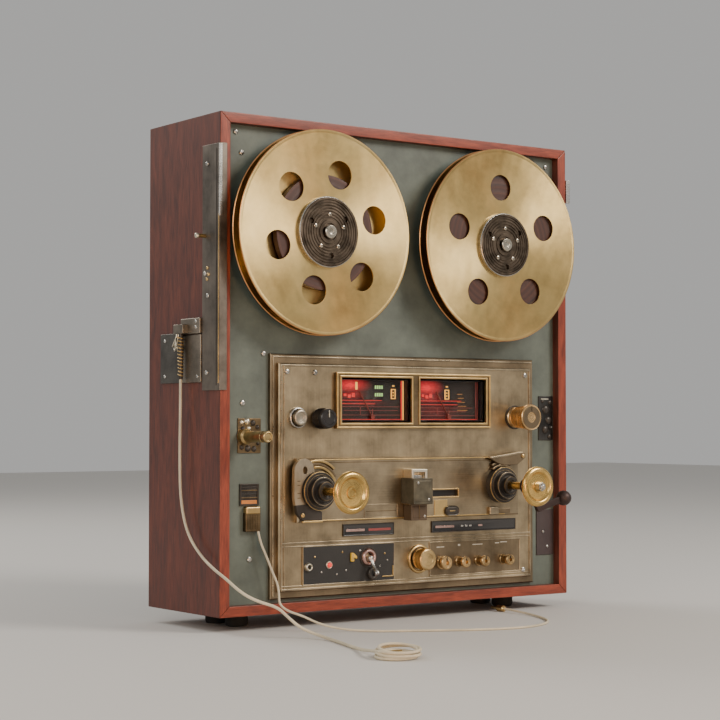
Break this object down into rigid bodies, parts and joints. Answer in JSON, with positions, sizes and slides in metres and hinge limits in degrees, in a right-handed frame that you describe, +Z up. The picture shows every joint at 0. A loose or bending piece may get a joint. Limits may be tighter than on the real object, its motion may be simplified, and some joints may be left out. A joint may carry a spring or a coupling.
{
  "type": "reel to reel tape deck",
  "caption": "Upright reel to reel tape deck in a wooden cabinet, with two tape reels over a metal control plate with meters, knobs, a head cover and jacks.",
  "frame": {"origin": "bottom centre of the box round the deck without its cords, on the surface the feet stand on", "axes": "+Z up, the front with the reels faces -Y, +X to the right seen from the front"},
  "size_m": [0.404, 0.3525, 0.438],
  "materials": {
    "mahogany_side": "satin dark red-brown veneer",
    "mahogany_edge": "satin red mahogany",
    "rubber_foot": "matt",
    "face_enamel": "satin grey-green enamel",
    "plate_nickel": "brushed warm nickel",
    "backplate_bronze": "dark brushed bronze",
    "screw_steel": "bright",
    "bezel_brass": "satin brass",
    "case_black": "matt black",
    "meter_pane": "clear",
    "cover_nickel": "brushed warm nickel",
    "head_olive": "satin olive",
    "chrome_bright": "polished",
    "bracket_aluminium": "satin",
    "collar_gunmetal": "dark gunmetal",
    "panel_black": "textured black",
    "lamp_red": "glossy",
    "trim_dark": "satin dark",
    "side_steel": "dark steel",
    "motor_zinc": "zinc plated",
    "core_iron": "varnished iron and windings",
    "board_green": "board laminate",
    "back_board": "pressed fibre board",
    "reel_gold": "brushed champagne gold",
    "hub_bronze": "dark bronze, turned",
    "tape_brown": "wound tape edge",
    "knob_brass": "polished brass",
    "knob_black": "glossy black",
    "needle_white": "painted",
    "cord_cream": "cream sleeving",
    "lever_dark": "dark steel"
  },
  "bodies": {
    "deck": {"back_cover": "back_board", "cabinet_bottom": "mahogany_edge", "cabinet_feet": "rubber_foot", "cabinet_left_side": "mahogany_side", "cabinet_right_side": "mahogany_side", "cabinet_top": "mahogany_edge", "circuit_board": "board_green", "control_backplate": "backplate_bronze", "control_plate": "plate_nickel", "cord_bracket": "side_steel", "cord_coil": "cord_cream", "cord_plug": "knob_brass", "drive_motors": "motor_zinc", "end_brackets": "bracket_aluminium", "face_panel": "face_enamel", "front_plug": "knob_brass", "front_wire": "cord_cream", "guide_post": "knob_brass", "head_cap": "chrome_bright", "head_cover": "cover_nickel", "head_housing": "head_olive", "jack_panel": "panel_black", "lamp_windows": "lamp_red", "meter_bezel": "bezel_brass", "meter_cases": "case_black", "meter_glass": "meter_pane", "panel_screws": "screw_steel", "rear_inlet": "case_black", "shaft_collars": "collar_gunmetal", "side_cord": "cord_cream", "side_fittings": "chrome_bright", "side_plate": "side_steel", "socket_rings": "chrome_bright", "strain_relief": "screw_steel", "transformer": "core_iron", "trim_plates": "trim_dark", "wire_plug": "knob_brass"},
    "supply_reel": {"supply_flanges": "reel_gold", "supply_hub": "hub_bronze", "supply_tape_pack": "tape_brown", "supply_spindle": "screw_steel"},
    "takeup_reel": {"takeup_flanges": "reel_gold", "takeup_hub": "hub_bronze", "takeup_tape_pack": "tape_brown", "takeup_spindle": "screw_steel"},
    "capstan": {"capstan_disc": "knob_brass"},
    "crank": {"crank_disc": "knob_brass", "crank_lever": "lever_dark"},
    "level": {"level_knob": "knob_brass"},
    "mode": {"mode_knob": "knob_black"},
    "push": {"push_button": "screw_steel"},
    "output": {"output_knob": "knob_brass"},
    "small_1": {"small_knob_1": "knob_brass"},
    "small_2": {"small_knob_2": "knob_brass"},
    "small_3": {"small_knob_3": "knob_brass"},
    "small_4": {"small_knob_4": "knob_brass"},
    "toggle": {"toggle_lever": "chrome_bright"},
    "oval": {"oval_button": "knob_black"},
    "left_needle": {"left_meter_needle": "needle_white"},
    "right_needle": {"right_meter_needle": "needle_white"}
  },
  "joints": [
    {"name": "supply_reel_spin", "type": "hinge", "parent": "deck", "child": "supply_reel", "pos_m": [-0.0956, -0.0485, 0.3395], "axis": [0, 1, 0], "continuous": true},
    {"name": "takeup_reel_spin", "type": "hinge", "parent": "deck", "child": "takeup_reel", "pos_m": [0.1016, -0.0485, 0.3395], "axis": [0, 1, 0], "continuous": true},
    {"name": "capstan_spin", "type": "hinge", "parent": "deck", "child": "capstan", "pos_m": [-0.0975, -0.0785, 0.117], "axis": [0, 1, 0], "continuous": true},
    {"name": "crank_spin", "type": "hinge", "parent": "deck", "child": "crank", "pos_m": [0.109, -0.0785, 0.118], "axis": [0, 1, 0], "continuous": true},
    {"name": "level_turn", "type": "hinge", "parent": "deck", "child": "level", "pos_m": [0.1314, -0.0385, 0.1807], "axis": [0, 1, 0], "range_deg": [-150, 150]},
    {"name": "mode_turn", "type": "hinge", "parent": "deck", "child": "mode", "pos_m": [-0.0907, -0.0385, 0.1794], "axis": [0, 1, 0], "range_deg": [-60, 60]},
    {"name": "output_turn", "type": "hinge", "parent": "deck", "child": "output", "pos_m": [0.0185, -0.0385, 0.0534], "axis": [0, 1, 0], "range_deg": [-140, 140]},
    {"name": "small_1_turn", "type": "hinge", "parent": "deck", "child": "small_1", "pos_m": [0.044, -0.0335, 0.049], "axis": [0, 1, 0], "range_deg": [-135, 135]},
    {"name": "small_2_turn", "type": "hinge", "parent": "deck", "child": "small_2", "pos_m": [0.0643, -0.0335, 0.049], "axis": [0, 1, 0], "range_deg": [-135, 135]},
    {"name": "small_3_turn", "type": "hinge", "parent": "deck", "child": "small_3", "pos_m": [0.0872, -0.0335, 0.049], "axis": [0, 1, 0], "range_deg": [-135, 135]},
    {"name": "small_4_turn", "type": "hinge", "parent": "deck", "child": "small_4", "pos_m": [0.1167, -0.0335, 0.049], "axis": [0, 1, 0], "range_deg": [-135, 135]},
    {"name": "toggle_tip", "type": "hinge", "parent": "deck", "child": "toggle", "pos_m": [-0.039, -0.0325, 0.0575], "axis": [-1, 0, 0], "range_deg": [0, 50]},
    {"name": "left_needle_swing", "type": "hinge", "parent": "deck", "child": "left_needle", "pos_m": [-0.0305, -0.0235, 0.181], "axis": [0, 1, 0], "range_deg": [0, 64], "stiffness_Nm_per_rad": 0.0003},
    {"name": "right_needle_swing", "type": "hinge", "parent": "deck", "child": "right_needle", "pos_m": [0.056, -0.0235, 0.181], "axis": [0, 1, 0], "range_deg": [0, 64], "stiffness_Nm_per_rad": 0.0003},
    {"name": "push_press", "type": "slide", "parent": "deck", "child": "push", "axis": [0, 1, 0], "range_m": [0, 0.003], "stiffness_N_per_m": 250},
    {"name": "oval_press", "type": "slide", "parent": "deck", "child": "oval", "axis": [0, 1, 0], "range_m": [0, 0.001], "stiffness_N_per_m": 250}
  ]
}
